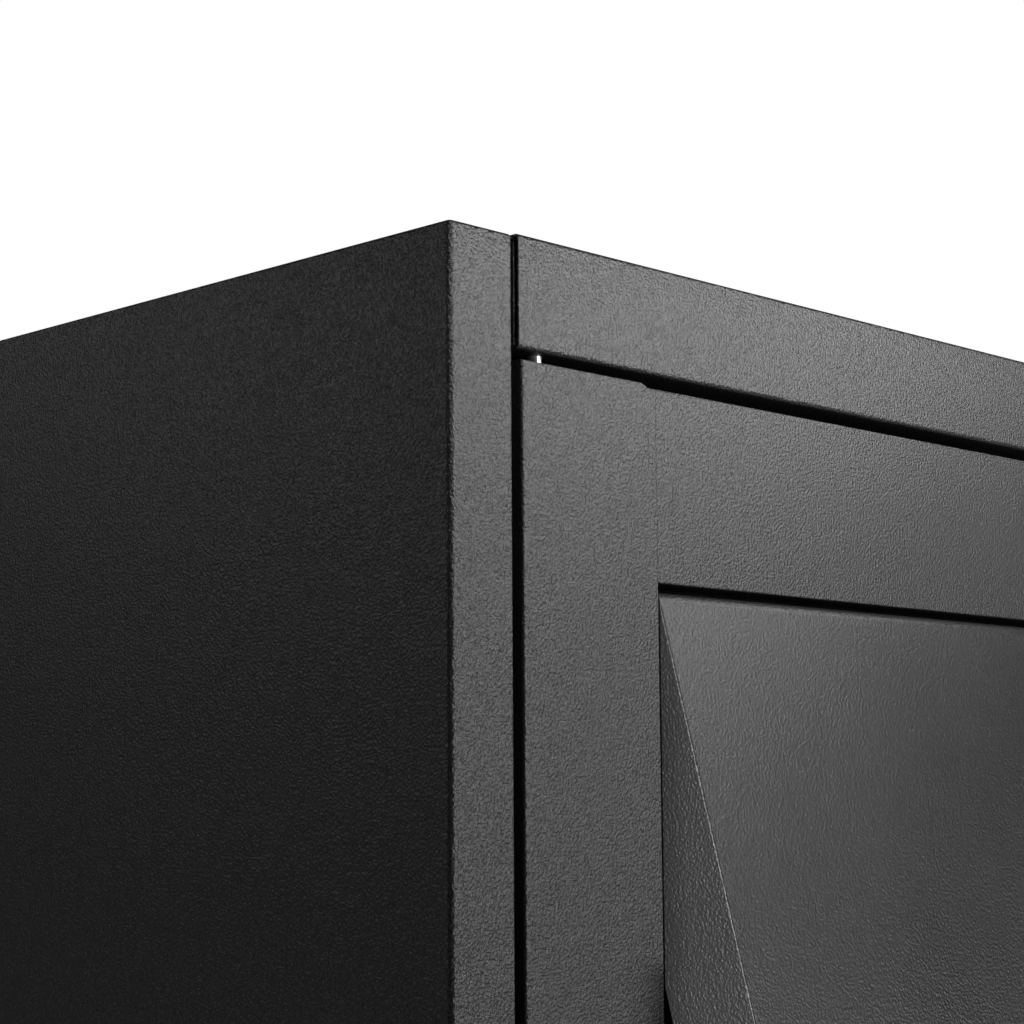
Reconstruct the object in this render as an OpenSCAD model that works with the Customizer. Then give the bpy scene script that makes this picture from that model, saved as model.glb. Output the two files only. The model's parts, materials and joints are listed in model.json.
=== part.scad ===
// Parcel locker: a folded steel cabinet with two left-hinged doors, one above the other.
// The upper door holds a top-hinged deposit flap; each door has a cam lock.
// Millimetres. Origin on the floor at the middle of the anchor holes,
// X to the right, Y into the cabinet, Z up.

/* [Cabinet] */
// Width over the side panels
cab_w = 560; // [480:10:760]
// Depth from the front face to the rear flanges
cab_d = 420; // [340:10:600]
// Height from the floor to the top
cab_h = 1200; // [980:10:1700]
// Thickness of the body sheet
sheet_t = 1; // [0.8:0.1:1.5]
// Outside radius of the bends in the body sheet
bend_r = 2.4; // [2:0.1:3.5]
// Width of the folded front posts
post_w = 30; // [24:1:45]
// Width of the stop lip on the lock side's post
lip_w = 16; // [14:1:20]
// Width of the inward flange along a side panel's top
top_flange_w = 50; // [40:1:70]
// Height of the flange folded down or up at the back
rear_flange_h = 20; // [12:1:30]
// Height of the shelf's side flanges
shelf_flange_h = 25; // [15:1:35]
// Height of the rubber foot pads
pad_h = 8; // [5:1:15]
// Radius of the rubber foot pads
pad_r = 20; // [16:1:28]

/* [Rails] */
// Height of the rails above, between and below the doors
rail_h = 41; // [34:1:60]
// Depth of a rail's folded returns
rail_d = 20; // [18:1:24]
// Gap between a post and the rails
groove_w = 3.3; // [2:0.1:5]
// Radius of the washers that space the middle rail from the posts
washer_r = 5; // [4:0.5:7]

/* [Doors] */
// Gap between a post and a door's edge
door_gap = 4.8; // [4:0.1:7]
// Gap between a rail and the door above or below it
rail_gap = 3.5; // [2.5:0.1:5]
// Height by which the hinge stile stands above the rest of the door
stile_step = 1.6; // [0.5:0.1:2.5]
// Length of the raised part of the hinge stile's top edge
step_from = 62.5; // [40:0.5:64]
// Length over which the step falls
step_len = 5; // [3:0.5:6]
// Depth of the doors
door_d = 20; // [18:1:24]
// Thickness of the door sheet
door_t = 1.2; // [1:0.1:1.5]
// Outside radius of the bends in the door sheet
door_bend_r = 2; // [1.6:0.1:3]
// Width of a door's upright stiles
stile_w = 70.6; // [60:0.1:90]
// Height of a door's top rail
head_h = 72.2; // [60:0.1:90]
// Height of a door's bottom rail
foot_h = 70.6; // [60:0.1:90]
// Height of the opening in the upper door
open_h = 310; // [240:5:360]
// Distance of the lower door's infill behind the front face
infill_set = 6; // [3:0.5:10]
// Thickness of the rubber bumpers behind the doors
bumper_t = 3.7; // [2.5:0.1:6]

/* [Hinges] */
// Radius of the hinge pins
pin_r = 3; // [2.5:0.1:3.5]
// Distance of the hinge pins from the door's edge
pin_in = 14; // [12:0.5:18]
// Distance of the hinge pins behind the front face
pin_back = 8; // [7.5:0.1:9]
// Length of a pin inside the door
pin_len = 14; // [10:1:20]
// Outside radius of the nylon bushes
bush_r = 5; // [4.5:0.1:6]
// Thickness of the plates that hold the pins
plate_t = 3; // [2:0.5:5]
// Clearance between a pin or rod and its bush
run_fit = 0.08; // [0.05:0.01:0.1]

/* [Flap] */
// Angle at which the flap stands open
flap_rest = 15.3; // [0:0.1:40]
// Distance of the flap's hinge rod below the top of the opening
flap_drop = 7.7; // [7:0.1:12]
// Outside radius of the curl along the flap's top edge
curl_r = 5; // [5:0.1:6]
// Radius of the flap's hinge rod
rod_r = 3; // [2.5:0.1:3]
// Depth of the flap's side cheeks
cheek_d = 37; // [25:1:45]
// Gap between the flap and the opening's sides
flap_side_gap = 1; // [0.8:0.1:2]
// Gap under the flap when it is shut
flap_foot_gap = 2.8; // [2.6:0.1:4]
// Length of the flap's pull
pull_len = 130; // [90:5:180]
// Stand-off of the flap's pull
pull_off = 24; // [20:1:32]
// Radius of the flap's pull
pull_r = 5; // [4:0.5:6]

/* [Locks] */
// Radius of a lock's threaded barrel
lock_r = 9; // [8:0.5:10]
// Radius of a lock's front rosette
rosette_r = 12; // [11:0.5:15]
// Radius of a lock's turning plug
plug_r = 5.5; // [4.5:0.1:6]
// Length of a lock's cam from its axis
cam_len = 33; // [30:0.5:35]
// Width of a lock's cam
cam_w = 14; // [12:1:16]
// Thickness of a lock's cam
cam_t = 2; // [1.5:0.1:3]

/* [Inside] */
// Distance of the baffle's flange behind the front face
baffle_set = 100; // [80:5:140]
// Length of the baffle's sloping sheet
baffle_len = 150; // [100:5:200]
// Slope of the baffle from upright
baffle_tilt = 30; // [10:1:45]
// Thickness of the rubber floor mat
mat_t = 3; // [2:0.5:5]

/* [Fixings] */
// Distance of the floor anchor holes from the side faces
anchor_in_x = 60; // [50:1:90]
// Distance of the floor anchor holes from the front and back
anchor_in_y = 60; // [50:1:90]
// Radius of the floor anchor holes
anchor_r = 5.5; // [4:0.5:7]
// Spacing of the wall fixing holes across
wall_x = 400; // [300:10:410]
// Distance of the wall fixing holes from the bottom and the top
wall_in_z = 150; // [60:5:200]
// Radius of the wall fixing holes
wall_r = 4.5; // [3:0.5:6]
// Number of rivets up each rear flange
rivet_count = 7; // [4:1:10]
// Radius of the rivets' shanks
rivet_r = 2; // [1.6:0.1:2.4]

/* [Hidden] */
$fn = 48;

paint = [0.16, 0.16, 0.17];
zinc = [0.72, 0.73, 0.75];
steel = [0.8, 0.8, 0.82];
nylon = [0.9, 0.9, 0.87];
rubber = [0.07, 0.07, 0.07];

side_x = cab_w / 2;
front_y = -cab_d / 2;
back_y = cab_d / 2;
post_x = side_x - post_w;
rail_x = post_x - groove_w;
door_x = post_x - door_gap;
open_x = door_x - stile_w;
base_top = pad_h + sheet_t;

// gap kept between fixed sheets, and between pieces that only come to rest on each other
seat = 0.2;
rest_gap = 0.3;

upper_top = cab_h - rail_h - rail_gap;
upper_head = upper_top - stile_step;
open_top = upper_head - head_h;
open_foot = open_top - open_h;
upper_foot = open_foot - foot_h;
mid_top = upper_foot - rail_gap;
mid_foot = mid_top - rail_h;
lower_top = mid_foot - rail_gap;
lower_head = lower_top - stile_step;
lower_foot = pad_h + rail_h + rail_gap;

pin_x = -door_x + pin_in;
pin_y = front_y + pin_back;
plate_w = 28;
plate_d = rail_d - 2 * bend_r;
head_r = 4.6;
head_t = 2;
collar_r = 6.2;

flap_y = front_y + curl_r;
flap_z = open_top - flap_drop;
flap_x = open_x - flap_side_gap;
flap_len = flap_z - open_foot - flap_foot_gap;
rod_over = 6;
clip_r = rod_r + 2.5;
clip_t = 1;
stop_w = 20;
stop_x = open_x * 0.7;
stop_h = 16;
stop_pad_t = 3.5;

liner_y = front_y + door_d;
liner_back = liner_y + sheet_t;
liner_x = door_x - door_t;
lip_front = liner_back + rest_gap + bumper_t;
lip_back = lip_front + sheet_t;
strike_t = 1;
cam_y = lip_back + strike_t + 0.4;
barrel_end = cam_y - 1.4;
lock_x = door_x - stile_w / 2;
upper_lock_z = upper_foot + 120;
lower_lock_z = (lower_foot + lower_top) / 2;
spigot = 6.8;
nut_r = 14;
nut_t = 5;
bumper_x = post_x - 10;
bumper_r = 4;

side_h = cab_h - sheet_t - base_top;
baffle_x = side_x - top_flange_w - 5;
stud_in = 10;
anchor_x = side_x - anchor_in_x;
anchor_y = back_y - anchor_in_y;
rivet_x = side_x - post_w / 2;
rivet_in = 60;

// Box between two opposite corners
module span(lo, hi) {
    translate(lo) cube(hi - lo);
}

// Cylinder along X, centred on x = 0
module rod_along_x(r, len) {
    rotate([0, 90, 0]) cylinder(r = r, h = len, center = true);
}

// Cylinder along Y from y0 to y1
module rod_along_y(r, y0, y1) {
    translate([0, y0, 0]) rotate([-90, 0, 0]) cylinder(r = r, h = y1 - y0);
}

// Rectangle with round corners, from [x0, y0] to [x1, y1]
module round_plan(x0, y0, x1, y1, r) {
    translate([x0 + r, y0]) square([x1 - x0 - 2 * r, y1 - y0]);
    translate([x0, y0 + r]) square([x1 - x0, y1 - y0 - 2 * r]);
    for (x = [x0 + r, x1 - r], y = [y0 + r, y1 - r])
        translate([x, y]) circle(r);
}

// Folded channel with its web at y = 0 and its open side at y = d
module channel_plan(w, d, r, t) {
    difference() {
        round_plan(0, 0, w, 2 * d, r);
        round_plan(t, t, w - t, 2 * d - t, r - t);
        translate([-1, d]) square([w + 2, d + 1]);
    }
}

// Channel that lies along X with its web at the front
module channel_along_x(len, z0, z1, d, r, t) {
    translate([0, front_y, z0])
        rotate([0, -90, 0])
        linear_extrude(len, center = true)
        channel_plan(z1 - z0, d, r, t);
}

// Side panel for the left-hand side: skin, front post with its return, rear flange, top flange
module side_shell() {
    translate([0, 0, base_top])
        linear_extrude(side_h)
        difference() {
            round_plan(-side_x, front_y, -post_x, back_y, bend_r);
            round_plan(-side_x + sheet_t, front_y + sheet_t, -post_x - sheet_t, back_y - sheet_t,
                       bend_r - sheet_t);
            translate([-post_x - bend_r, lip_back])
                square([bend_r + 1, cab_d]);
        }
    translate([0, 0, cab_h - 2 * sheet_t])
        linear_extrude(sheet_t) {
            round_plan(-side_x, front_y, -post_x, back_y, bend_r);
            translate([-post_x - bend_r, front_y + bend_r + seat])
                square([top_flange_w - post_w + bend_r, cab_d - bend_r - sheet_t - 2 * seat]);
        }
}

module rivet_places() {
    for (x = [-rivet_x, rivet_x], i = [0 : rivet_count - 1])
        translate([x, 0, rivet_in + base_top + i * (side_h - 2 * rivet_in) / (rivet_count - 1)])
            children();
}

module left_side_panel() {
    color(paint)
        difference() {
            side_shell();
            rivet_places() rod_along_y(rivet_r, back_y - 2 * sheet_t, back_y + 1);
        }
}

module right_side_panel() {
    color(paint)
        difference() {
            union() {
                mirror([1, 0, 0]) side_shell();
                span([post_x - lip_w, lip_front, base_top], [post_x, lip_back, cab_h - 2 * sheet_t]);
            }
            rivet_places() rod_along_y(rivet_r, back_y - 2 * sheet_t, back_y + 1);
        }
}

module back_panel() {
    color(paint)
        difference() {
            span([-side_x + bend_r + seat, back_y - 2 * sheet_t, base_top],
                 [side_x - bend_r - seat, back_y - sheet_t, cab_h - 2 * sheet_t]);
            rivet_places() rod_along_y(rivet_r, back_y - 3 * sheet_t, back_y);
            for (x = [-wall_x / 2, wall_x / 2], z = [wall_in_z, cab_h - wall_in_z])
                translate([x, 0, z]) rod_along_y(wall_r, back_y - 3 * sheet_t, back_y);
        }
}

// Rail channel with closed ends; its end plates stop at end_top
module rail(z0, z1, end_top) {
    channel_along_x(2 * rail_x, z0, z1, rail_d, bend_r, sheet_t);
    for (x = [-rail_x, rail_x - sheet_t])
        span([x, front_y + bend_r, z0 + sheet_t], [x + sheet_t, front_y + rail_d, end_top]);
}

module pin_hole(z) {
    translate([pin_x, pin_y, z]) cylinder(r = pin_r, h = 4 * sheet_t, center = true);
}

module top_panel() {
    color(paint)
        difference() {
            union() {
                rail(cab_h - rail_h, cab_h, cab_h - 2 * sheet_t - seat);
                span([-rail_x, front_y + bend_r, cab_h - sheet_t], [rail_x, back_y, cab_h]);
                span([-rail_x, back_y - sheet_t, cab_h - rear_flange_h], [rail_x, back_y, cab_h]);
            }
            pin_hole(cab_h - rail_h);
        }
}

module base_pan() {
    color(paint)
        difference() {
            union() {
                translate([0, 0, pad_h])
                    linear_extrude(sheet_t)
                    round_plan(-side_x, front_y, side_x, back_y, bend_r);
                rail(pad_h, pad_h + rail_h, pad_h + rail_h - sheet_t);
                span([-rail_x, back_y - sheet_t, pad_h], [rail_x, back_y, pad_h + rear_flange_h]);
            }
            pin_hole(pad_h + rail_h);
            for (x = [-anchor_x, anchor_x], y = [-anchor_y, anchor_y])
                translate([x, y, pad_h - 1]) cylinder(r = anchor_r, h = sheet_t + 2);
        }
}

module mid_rail() {
    color(paint)
        difference() {
            rail(mid_foot, mid_top, mid_top - sheet_t);
            pin_hole(mid_top);
            pin_hole(mid_foot);
        }
}

module mid_rail_washers() {
    color(zinc)
        for (x = [-rail_x - groove_w / 2, rail_x + groove_w / 2], z = [mid_foot + 10, mid_top - 10])
            translate([x, front_y + rail_d / 2 + 2, z]) rod_along_x(washer_r, groove_w);
}

module shelf() {
    shelf_x = side_x - sheet_t;
    shelf_y = lip_back + 2;
    shelf_back = back_y - sheet_t - bend_r;
    shelf_top = mid_top - sheet_t;
    tongue_x = -pin_x - plate_w / 2 - 2;
    color(paint) {
        span([-shelf_x, shelf_y, shelf_top - sheet_t], [shelf_x, shelf_back, shelf_top]);
        span([-tongue_x, front_y + bend_r, shelf_top - sheet_t], [tongue_x, shelf_y, shelf_top]);
        for (x = [-shelf_x, shelf_x - sheet_t])
            span([x, shelf_y, shelf_top - shelf_flange_h], [x + sheet_t, shelf_back, shelf_top]);
    }
}

module floor_mat() {
    color(rubber)
        span([-anchor_x + pad_r, lip_back + 5, base_top],
             [anchor_x - pad_r, back_y - 2 * sheet_t - 5, base_top + mat_t]);
}

module stud_places() {
    for (i = [-1 : 1])
        translate([i * (baffle_x - 20), front_y + baffle_set - stud_in, cab_h - sheet_t]) children();
}

module baffle() {
    color(paint)
        difference() {
            union() {
                span([-baffle_x, front_y + baffle_set - 2 * stud_in, cab_h - 2 * sheet_t],
                     [baffle_x, front_y + baffle_set, cab_h - sheet_t]);
                translate([-baffle_x, front_y + baffle_set, cab_h - sheet_t])
                    rotate([baffle_tilt, 0, 0])
                    translate([0, -sheet_t, -baffle_len])
                    cube([2 * baffle_x, sheet_t, baffle_len]);
            }
            stud_places() cylinder(r = rivet_r, h = 4 * sheet_t, center = true);
        }
}

module baffle_studs() {
    color(zinc)
        stud_places() {
            translate([0, 0, -9]) cylinder(r = rivet_r, h = 9);
            translate([0, 0, -sheet_t - 3.2]) cylinder(r = 4, h = 3.2, $fn = 6);
        }
}

// Plate, pin and head of one hinge: the door's edge lies at door_z, below (dir = -1) or above
// (dir = 1) the rail's outer face at rail_z
module hinge_plate(rail_z, dir) {
    lo = dir < 0 ? rail_z + sheet_t : rail_z - sheet_t - plate_t;
    difference() {
        translate([pin_x - plate_w / 2, front_y + bend_r, lo]) cube([plate_w, plate_d, plate_t]);
        translate([pin_x, pin_y, lo - 1]) cylinder(r = pin_r, h = plate_t + 2);
    }
}

module hinge_pin(rail_z, dir) {
    shank = pin_len + rail_gap + sheet_t + plate_t;
    translate([pin_x, pin_y, rail_z])
        rotate([dir < 0 ? 180 : 0, 0, 0])
        translate([0, 0, -sheet_t - plate_t]) {
            cylinder(r = pin_r, h = shank);
            translate([0, 0, -head_t]) cylinder(r = head_r, h = head_t);
        }
}

module hinge_plates() {
    color(zinc) {
        hinge_plate(cab_h - rail_h, -1);
        hinge_plate(mid_top, 1);
        hinge_plate(mid_foot, -1);
        hinge_plate(pad_h + rail_h, 1);
    }
}

module hinge_pins() {
    color(steel) {
        hinge_pin(cab_h - rail_h, -1);
        hinge_pin(mid_top, 1);
        hinge_pin(mid_foot, -1);
        hinge_pin(pad_h + rail_h, 1);
    }
}

module strike_plates() {
    color(zinc)
        for (z = [upper_lock_z, lower_lock_z])
            span([post_x - lip_w + 2, lip_back, z - 22], [post_x - 1, lip_back + strike_t, z + 22]);
}

module door_bumpers() {
    color(rubber)
        for (z = [lower_foot + 60, lower_top - 60, upper_foot + 60, upper_top - 60])
            translate([bumper_x, 0, z])
                rod_along_y(bumper_r, lip_front - bumper_t, lip_front);
}

module foot_pads() {
    color(rubber)
        for (x = [-anchor_x, anchor_x], y = [-anchor_y, anchor_y])
            translate([x, y, 0])
                difference() {
                    cylinder(r = pad_r, h = pad_h);
                    translate([0, 0, -1]) cylinder(r = anchor_r, h = pad_h + 2);
                }
}

module back_rivets() {
    color(zinc)
        rivet_places() {
            rod_along_y(rivet_r, back_y - 2 * sheet_t, back_y);
            translate([0, back_y, 0]) rotate([-90, 0, 0]) cylinder(r1 = 3.5, r2 = 2.2, h = 1);
        }
}

function fall(t) = t * t * (3 - 2 * t);

// Front outline of a stile: its top edge is raised by step over the first step_from,
// then falls in a smooth curve
module stile_outline(w, z0, z1, step) {
    polygon(concat(
        [[0, z0], [0, z1 + step]],
        [for (i = [0 : 8]) [step_from + step_len * i / 8, z1 + step * (1 - fall(i / 8))]],
        [[w, z1], [w, z0]]));
}

// Upright stile with closed ends; z1 is its top beyond the step
module stile(z0, z1, step) {
    intersection() {
        translate([0, 0, z0 - 1])
            linear_extrude(z1 - z0 + step + 2)
            channel_plan(stile_w, door_d, door_bend_r, door_t);
        translate([0, door_d, 0])
            rotate([90, 0, 0])
            linear_extrude(door_d)
            stile_outline(stile_w, z0, z1, step);
    }
    translate([0, door_d, 0])
        rotate([90, 0, 0])
        linear_extrude(door_d - door_t)
        difference() {
            translate([door_t / 2, 0]) stile_outline(stile_w - door_t, z0, z1, step);
            translate([0, -door_t]) stile_outline(stile_w, z0 - 1, z1, step);
        }
    span([door_t / 2, door_t / 2, z0], [stile_w - door_t / 2, door_d, z0 + door_t]);
}

module bush_hole(z) {
    translate([pin_x, pin_y, z]) cylinder(r = bush_r, h = 4 * door_t, center = true);
}

module hinge_stile(z0, z1) {
    difference() {
        translate([-door_x, front_y, 0]) stile(z0, z1, stile_step);
        bush_hole(z0);
        bush_hole(z1 + stile_step);
    }
}

module lock_stile(z0, z1, lock_z) {
    difference() {
        translate([open_x, front_y, 0]) stile(z0, z1, 0);
        translate([lock_x, 0, lock_z]) rod_along_y(lock_r, front_y - 1, front_y + 2 * door_t);
    }
}

module door_rail(z0, z1) {
    channel_along_x(2 * open_x, z0, z1, door_d, door_bend_r, door_t);
}

module hinge_bushes(z0, z1) {
    color(nylon)
        translate([pin_x, pin_y, 0]) {
            difference() {
                union() {
                    translate([0, 0, z1 - pin_len + 1]) cylinder(r = bush_r, h = pin_len - 1);
                    translate([0, 0, z1 - door_t - 2]) cylinder(r = collar_r, h = 2);
                }
                translate([0, 0, z1 - pin_len]) cylinder(r = pin_r + run_fit, h = pin_len + 1);
            }
            difference() {
                union() {
                    translate([0, 0, z0]) cylinder(r = bush_r, h = pin_len - 1);
                    translate([0, 0, z0 - rail_gap + rest_gap])
                        cylinder(r = collar_r, h = rail_gap - rest_gap);
                }
                translate([0, 0, z0 - rail_gap]) cylinder(r = pin_r + run_fit, h = pin_len + rail_gap);
            }
        }
}

module lock_barrel(z) {
    color(steel)
        translate([lock_x, 0, z])
            difference() {
                union() {
                    rod_along_y(lock_r, front_y, barrel_end);
                    rod_along_y(rosette_r, front_y - 2, front_y);
                }
                rod_along_y(plug_r + run_fit, front_y - 3, barrel_end + 1);
            }
}

module lock_nut(z) {
    color(zinc)
        translate([lock_x, front_y + door_t, z])
            difference() {
                rotate([-90, 0, 0]) cylinder(r = nut_r, h = nut_t, $fn = 6);
                rod_along_y(lock_r, -1, nut_t + 1);
            }
}

module lock_plug(z) {
    color(steel)
        translate([lock_x, 0, z])
            difference() {
                union() {
                    rod_along_y(plug_r, front_y - 2, cam_y - 0.6);
                    span([-spigot / 2, cam_y - 1, -spigot / 2], [spigot / 2, cam_y + cam_t, spigot / 2]);
                }
                span([-0.6, front_y - 3, -3.5], [0.6, front_y + 8, 3.5]);
                rod_along_y(rivet_r, cam_y - 8, cam_y + cam_t + 1);
            }
}

module lock_cam(z) {
    color(zinc)
        translate([lock_x, 0, z])
            difference() {
                union() {
                    rod_along_y(8, cam_y, cam_y + cam_t);
                    span([-cam_w / 2, cam_y, -cam_len], [cam_w / 2, cam_y + cam_t, 0]);
                }
                span([-spigot / 2, cam_y - 1, -spigot / 2], [spigot / 2, cam_y + cam_t + 1, spigot / 2]);
            }
}

module cam_screw(z) {
    color(zinc)
        translate([lock_x, 0, z]) {
            rod_along_y(rivet_r, cam_y - 7, cam_y + cam_t);
            rod_along_y(6, cam_y + cam_t, cam_y + cam_t + 2.5);
        }
}

module upper_hinge_stile() {
    color(paint)
        difference() {
            hinge_stile(upper_foot, upper_head);
            translate([0, flap_y, flap_z]) rod_along_x(rod_r, 2 * open_x + 10);
        }
}

module upper_lock_stile() {
    color(paint)
        difference() {
            lock_stile(upper_foot, upper_head, upper_lock_z);
            translate([0, flap_y, flap_z]) rod_along_x(rod_r, 2 * open_x + 10);
        }
}

module upper_top_rail() {
    color(paint) door_rail(open_top, upper_head);
}

module upper_bottom_rail() {
    color(paint) door_rail(upper_foot, open_foot);
}

module liner(z0, z1, lock_z) {
    difference() {
        span([-liner_x, liner_y, z0 + door_t], [liner_x, liner_back, z1 - door_t]);
        translate([lock_x, 0, lock_z]) rod_along_y(lock_r, liner_y - 1, liner_back + 1);
    }
}

module upper_door_liner() {
    color(paint)
        difference() {
            liner(upper_foot, upper_head, upper_lock_z);
            span([-open_x, liner_y - 1, open_foot], [open_x, liner_back + 1, open_top]);
        }
}

module flap_rod() {
    color(steel) translate([0, flap_y, flap_z]) rod_along_x(rod_r, 2 * (open_x + rod_over));
}

module flap_rod_clips() {
    color(steel)
        for (x = [-1, 1])
            translate([x * (open_x + door_t + clip_t / 2), flap_y, flap_z])
                difference() {
                    rod_along_x(clip_r, clip_t);
                    rod_along_x(rod_r, clip_t + 2);
                    translate([-clip_t, -2 * clip_r, -clip_r])
                        cube([2 * clip_t, 2 * clip_r + door_bend_r + seat - curl_r, 2 * clip_r]);
                }
}

module flap_stops() {
    arm_z = open_foot - 1;
    upright_y = flap_y + cheek_d - curl_r + rest_gap + stop_pad_t;
    color(paint)
        for (x = [-stop_x, stop_x])
            translate([x - stop_w / 2, 0, 0]) {
                span([0, liner_back, arm_z - 20], [stop_w, liner_back + door_t, arm_z]);
                span([0, liner_back, arm_z - door_t], [stop_w, upright_y + door_t, arm_z]);
                span([0, upright_y, arm_z - door_t], [stop_w, upright_y + door_t, arm_z + stop_h]);
            }
}

module flap_stop_pads() {
    pad_y = flap_y + cheek_d - curl_r + rest_gap;
    color(rubber)
        for (x = [-stop_x, stop_x])
            span([x - stop_w / 2 + 1, pad_y, open_foot + 2],
                 [x + stop_w / 2 - 1, pad_y + stop_pad_t, open_foot + stop_h - 2]);
}

// Turns what is drawn for the shut flap about its hinge rod to where the flap stands
module on_flap() {
    translate([0, flap_y, flap_z]) rotate([-flap_rest, 0, 0]) children();
}

module flap_pan() {
    corner = 20;
    back = cheek_d - curl_r;
    color(paint)
        on_flap()
        difference() {
            union() {
                translate([-flap_x, -curl_r, -flap_len])
                    linear_extrude(flap_len)
                    channel_plan(2 * flap_x, cheek_d, door_bend_r, door_t);
                span([-flap_x + door_t / 2, -curl_r + door_t / 2, -flap_len],
                     [flap_x - door_t / 2, back, -flap_len + door_t]);
                rod_along_x(curl_r, 2 * flap_x);
            }
            rod_along_x(curl_r - door_t, 2 * flap_x + 2);
            translate([0, back, 0])
                rotate([45, 0, 0])
                cube([2 * flap_x + 2, 1.5 * corner, 1.5 * corner], center = true);
            for (x = [-pull_len / 2, pull_len / 2])
                translate([x, 0, 30 - flap_len]) rod_along_y(rivet_r, -curl_r - 1, 0);
        }
}

module flap_stiffener() {
    high = 30;
    deep = 12;
    long = 2 * flap_x - 20;
    color(paint)
        on_flap()
        translate([-long / 2, door_t - curl_r, -flap_len / 2 - high / 2])
        difference() {
            cube([long, deep, high]);
            translate([-1, -1, door_t]) cube([long + 2, deep + 1 - door_t, high - 2 * door_t]);
        }
}

module flap_bushes() {
    color(nylon)
        on_flap()
        for (x = [-1, 1])
            translate([x * (flap_x - 10), 0, 0])
                difference() {
                    rod_along_x(curl_r - door_t, 20);
                    rod_along_x(rod_r + run_fit, 22);
                }
}

module flap_pull() {
    color(steel)
        on_flap()
        translate([0, 0, 30 - flap_len])
        difference() {
            union() {
                translate([0, -curl_r - pull_off, 0]) rod_along_x(pull_r, pull_len + 20);
                for (x = [-pull_len / 2, pull_len / 2])
                    translate([x, 0, 0]) rod_along_y(pull_r - 1, -curl_r - pull_off, -curl_r);
            }
            for (x = [-pull_len / 2, pull_len / 2])
                translate([x, 0, 0]) rod_along_y(rivet_r, -curl_r - 13, -curl_r + 1);
        }
}

module flap_pull_screws() {
    color(zinc)
        on_flap()
        for (x = [-pull_len / 2, pull_len / 2])
            translate([x, 0, 30 - flap_len]) {
                rod_along_y(rivet_r, -curl_r - 12, -curl_r + door_t);
                rod_along_y(4, -curl_r + door_t, -curl_r + door_t + 2.5);
            }
}

module lower_infill() {
    z0 = lower_foot + foot_h;
    z1 = lower_head - head_h;
    color(paint)
        difference() {
            span([-open_x, front_y + infill_set, z0], [open_x, liner_y, z1]);
            span([-open_x + door_t, front_y + infill_set + door_t, z0 + door_t],
                 [open_x - door_t, liner_y + 1, z1 - door_t]);
        }
}

left_side_panel();
right_side_panel();
back_panel();
top_panel();
base_pan();
mid_rail();
mid_rail_washers();
shelf();
floor_mat();
baffle();
baffle_studs();
hinge_plates();
hinge_pins();
strike_plates();
door_bumpers();
foot_pads();
back_rivets();
upper_hinge_stile();
upper_lock_stile();
upper_top_rail();
upper_bottom_rail();
upper_door_liner();
hinge_bushes(upper_foot, upper_top);  // upper_hinge_bushes
lock_barrel(upper_lock_z);  // upper_lock_barrel
lock_nut(upper_lock_z);  // upper_lock_nut
flap_rod();
flap_rod_clips();
flap_stops();
flap_stop_pads();
lock_plug(upper_lock_z);  // upper_lock_plug
lock_cam(upper_lock_z);  // upper_lock_cam
cam_screw(upper_lock_z);  // upper_cam_screw
flap_pan();
flap_stiffener();
flap_bushes();
flap_pull();
flap_pull_screws();
color(paint) hinge_stile(lower_foot, lower_head);  // lower_hinge_stile
color(paint) lock_stile(lower_foot, lower_head, lower_lock_z);  // lower_lock_stile
color(paint) door_rail(lower_head - head_h, lower_head);  // lower_top_rail
color(paint) door_rail(lower_foot, lower_foot + foot_h);  // lower_bottom_rail
lower_infill();
color(paint) liner(lower_foot, lower_head, lower_lock_z);  // lower_door_liner
hinge_bushes(lower_foot, lower_top);  // lower_hinge_bushes
lock_barrel(lower_lock_z);  // lower_lock_barrel
lock_nut(lower_lock_z);  // lower_lock_nut
lock_plug(lower_lock_z);  // lower_lock_plug
lock_cam(lower_lock_z);  // lower_lock_cam
cam_screw(lower_lock_z);  // lower_cam_screw
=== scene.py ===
import json
from math import cos, pi, radians, sin, tan

import bpy
import numpy as np
from mathutils import Matrix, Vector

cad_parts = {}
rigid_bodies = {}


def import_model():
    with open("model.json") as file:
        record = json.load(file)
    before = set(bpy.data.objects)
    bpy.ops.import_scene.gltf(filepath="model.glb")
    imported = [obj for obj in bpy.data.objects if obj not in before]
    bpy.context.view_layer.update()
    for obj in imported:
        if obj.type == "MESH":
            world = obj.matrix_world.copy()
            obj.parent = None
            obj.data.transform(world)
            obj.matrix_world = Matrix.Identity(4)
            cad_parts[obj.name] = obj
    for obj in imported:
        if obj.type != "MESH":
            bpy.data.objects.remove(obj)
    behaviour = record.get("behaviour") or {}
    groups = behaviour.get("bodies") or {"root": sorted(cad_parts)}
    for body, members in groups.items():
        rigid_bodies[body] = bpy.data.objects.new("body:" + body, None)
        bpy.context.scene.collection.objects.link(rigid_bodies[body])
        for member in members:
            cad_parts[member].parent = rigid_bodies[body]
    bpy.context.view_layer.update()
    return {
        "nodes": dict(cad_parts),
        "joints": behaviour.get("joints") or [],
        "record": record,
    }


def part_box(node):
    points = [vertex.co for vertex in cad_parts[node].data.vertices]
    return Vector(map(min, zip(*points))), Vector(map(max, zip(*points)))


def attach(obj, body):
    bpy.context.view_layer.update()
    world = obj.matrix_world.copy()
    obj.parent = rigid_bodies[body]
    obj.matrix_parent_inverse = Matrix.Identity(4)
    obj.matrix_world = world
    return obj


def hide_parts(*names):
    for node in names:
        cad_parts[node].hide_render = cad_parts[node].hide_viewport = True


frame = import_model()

# ---------------------------------------------------------------- sizes, in metres

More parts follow.
